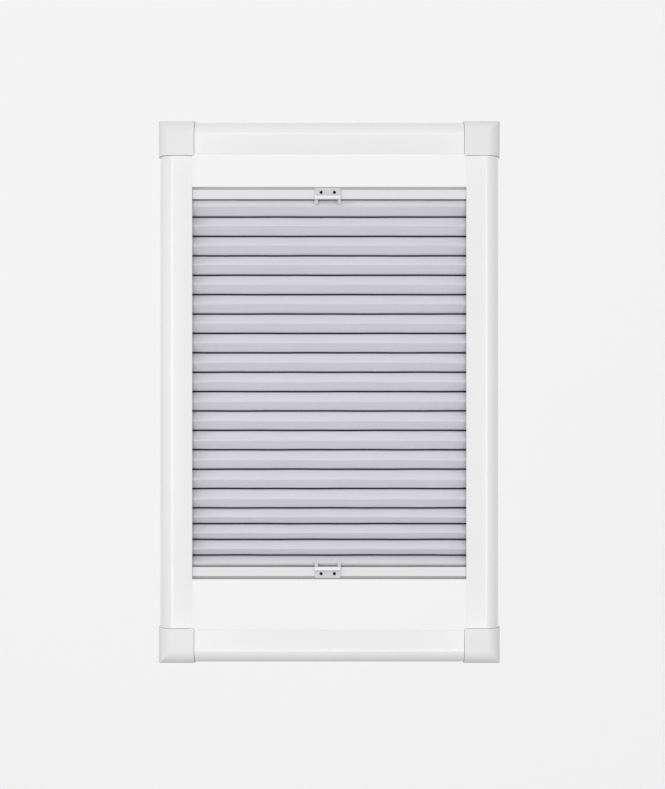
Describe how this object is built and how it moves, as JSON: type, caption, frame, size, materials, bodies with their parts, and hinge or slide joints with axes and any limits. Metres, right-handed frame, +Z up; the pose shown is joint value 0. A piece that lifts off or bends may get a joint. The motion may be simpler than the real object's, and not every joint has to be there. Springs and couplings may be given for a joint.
{
  "type": "pleated blind",
  "caption": "Pleated fabric shade between sliding rails in a slim white frame, set by hand from above or below.",
  "frame": {"origin": "centre of the four mounting-screw holes, on the plane behind the clips that the blind is screwed to", "axes": "+X to the right seen from the room, +Y from the room towards the window, +Z up"},
  "size_m": [0.3786, 0.0288, 0.6016],
  "materials": {
    "frame_coating": "satin white powder coat",
    "corner_plastic": "satin white",
    "anchor_plastic": "plain white",
    "clip_steel": "zinc plated",
    "pleated_cloth": "light grey, finely woven, matt",
    "cord_braid": "white braid",
    "strip_plastic": "plain white",
    "cap_plastic": "plain white",
    "handle_plastic": "white, slightly milky",
    "rail_coating": "satin white powder coat"
  },
  "bodies": {
    "frame": {"left_profile": "frame_coating", "right_profile": "frame_coating", "top_profile": "frame_coating", "bottom_profile": "frame_coating", "corner_top_left": "corner_plastic", "corner_top_right": "corner_plastic", "corner_bottom_left": "corner_plastic", "corner_bottom_right": "corner_plastic", "anchor_top_left": "anchor_plastic", "anchor_top_right": "anchor_plastic", "anchor_bottom_left": "anchor_plastic", "anchor_bottom_right": "anchor_plastic", "clip_upper_left": "clip_steel", "clip_upper_right": "clip_steel", "clip_lower_left": "clip_steel", "clip_lower_right": "clip_steel", "pleated_fabric": "pleated_cloth", "front_cord": "cord_braid", "rear_cord": "cord_braid"},
    "upper_rail_set": {"upper_rail": "rail_coating", "upper_fabric_strip": "strip_plastic", "upper_rail_cap_left": "cap_plastic", "upper_rail_cap_right": "cap_plastic", "upper_handle": "handle_plastic"},
    "lower_rail_set": {"lower_rail": "rail_coating", "lower_fabric_strip": "strip_plastic", "lower_rail_cap_left": "cap_plastic", "lower_rail_cap_right": "cap_plastic", "lower_handle": "handle_plastic"}
  },
  "joints": [
    {"name": "upper_rail_slide", "type": "slide", "parent": "frame", "child": "upper_rail_set", "axis": [0, 0, 1], "range_m": [-0.199, 0.027], "deforming": ["pleated_fabric", "front_cord", "rear_cord"]},
    {"name": "lower_rail_slide", "type": "slide", "parent": "frame", "child": "lower_rail_set", "axis": [0, 0, 1], "range_m": [-0.047, 0.179], "deforming": ["pleated_fabric", "front_cord", "rear_cord"]}
  ]
}
